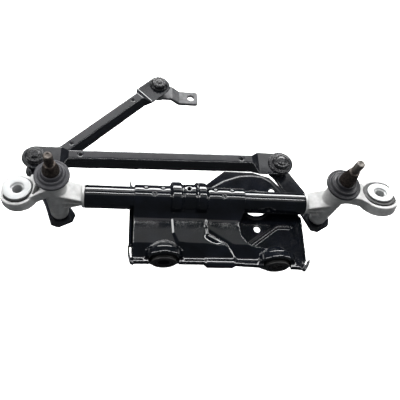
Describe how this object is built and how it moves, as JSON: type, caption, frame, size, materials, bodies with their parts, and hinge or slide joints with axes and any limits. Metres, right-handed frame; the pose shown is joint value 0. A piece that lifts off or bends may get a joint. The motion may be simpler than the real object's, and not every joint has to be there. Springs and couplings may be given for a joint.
{
  "type": "windshield wiper linkage",
  "caption": "Wiper linkage: tube frame with two cast spindle housings, levers, ball-jointed link rods and a motor crank. Motor, arms and blades are not part of it.",
  "frame": {"origin": "centre of the motor shaft hole, in the top face of the motor plate", "axes": "+X along the frame tube from the left spindle to the right one, +Y to the rear, +Z along both wiper spindles towards their threads"},
  "size_m": [0.3689, 0.2674, 0.1513],
  "materials": {
    "black_paint": "gloss black dip paint",
    "cast_aluminium": "satin, as cast",
    "spindle_steel": "dark oiled steel",
    "plated_steel": "bright zinc plate",
    "plain_steel": "ground",
    "crank_steel": "satin dark grey phosphate",
    "bronze": "sintered, oiled",
    "black_rubber": "matt",
    "grey_cap": "satin dark grey",
    "black_cap": "satin black",
    "socket_plastic": "satin black"
  },
  "bodies": {
    "frame": {"frame_tube": "black_paint", "saddle_bracket": "black_paint", "motor_plate": "black_paint", "left_pivot_housing": "cast_aluminium", "right_pivot_housing": "cast_aluminium", "left_eye_grommet": "black_rubber", "right_eye_grommet": "black_rubber", "left_eye_sleeve": "plated_steel", "right_eye_sleeve": "plated_steel", "left_boss_grommet": "black_rubber", "right_boss_grommet": "black_rubber", "left_lower_bush": "bronze", "left_upper_bush": "bronze", "right_lower_bush": "bronze", "right_upper_bush": "bronze", "left_spindle_seal": "black_rubber", "right_spindle_seal": "black_rubber"},
    "left_pivot": {"left_spindle": "spindle_steel", "left_dust_cap": "grey_cap", "left_lever": "black_paint", "left_retaining_ring": "plain_steel", "left_thrust_washer": "plain_steel", "left_upper_ball_stud": "plain_steel", "left_lower_ball_stud": "plain_steel"},
    "right_pivot": {"right_spindle": "spindle_steel", "right_dust_cap": "black_cap", "right_lever": "black_paint", "right_retaining_ring": "plain_steel", "right_thrust_washer": "plain_steel", "right_ball_stud": "plain_steel"},
    "long_link": {"long_link_rod": "black_paint", "link_left_socket": "socket_plastic", "link_right_socket": "socket_plastic", "link_left_boot": "black_rubber", "link_right_boot": "black_rubber"},
    "drive_link": {"drive_link_rod": "black_paint", "drive_lever_socket": "socket_plastic", "drive_crank_socket": "socket_plastic", "drive_lever_boot": "black_rubber", "drive_crank_boot": "black_rubber"},
    "crank": {"motor_crank": "crank_steel", "crank_ball_stud": "plain_steel"}
  },
  "joints": [
    {"name": "left_spindle_turn", "type": "hinge", "parent": "frame", "child": "left_pivot", "pos_m": [-0.1935, -0.0055, 0.0135], "axis": [0, 0, 1], "range_deg": [-66, 0]},
    {"name": "right_spindle_turn", "type": "hinge", "parent": "frame", "child": "right_pivot", "pos_m": [0.072, -0.0055, 0.0135], "axis": [0, 0, 1], "range_deg": [-60, 0]},
    {"name": "long_link_turn", "type": "hinge", "parent": "left_pivot", "child": "long_link", "pos_m": [-0.22217, 0.0515, -0.0125], "axis": [0, 0, 1], "range_deg": [0, 68]},
    {"name": "drive_link_turn", "type": "hinge", "parent": "left_pivot", "child": "drive_link", "pos_m": [-0.22217, 0.0515, -0.0365], "axis": [0, 0, 1], "range_deg": [-70, 35]},
    {"name": "crank_turn", "type": "hinge", "parent": "drive_link", "child": "crank", "pos_m": [-0.09397, 0.18195, -0.0383], "axis": [0, 0, 1], "continuous": true}
  ],
  "couplings": [
    {"joint": "right_spindle_turn", "follows": "left_spindle_turn", "ratio": 0.908},
    {"joint": "long_link_turn", "follows": "left_spindle_turn", "ratio": -1.028}
  ]
}
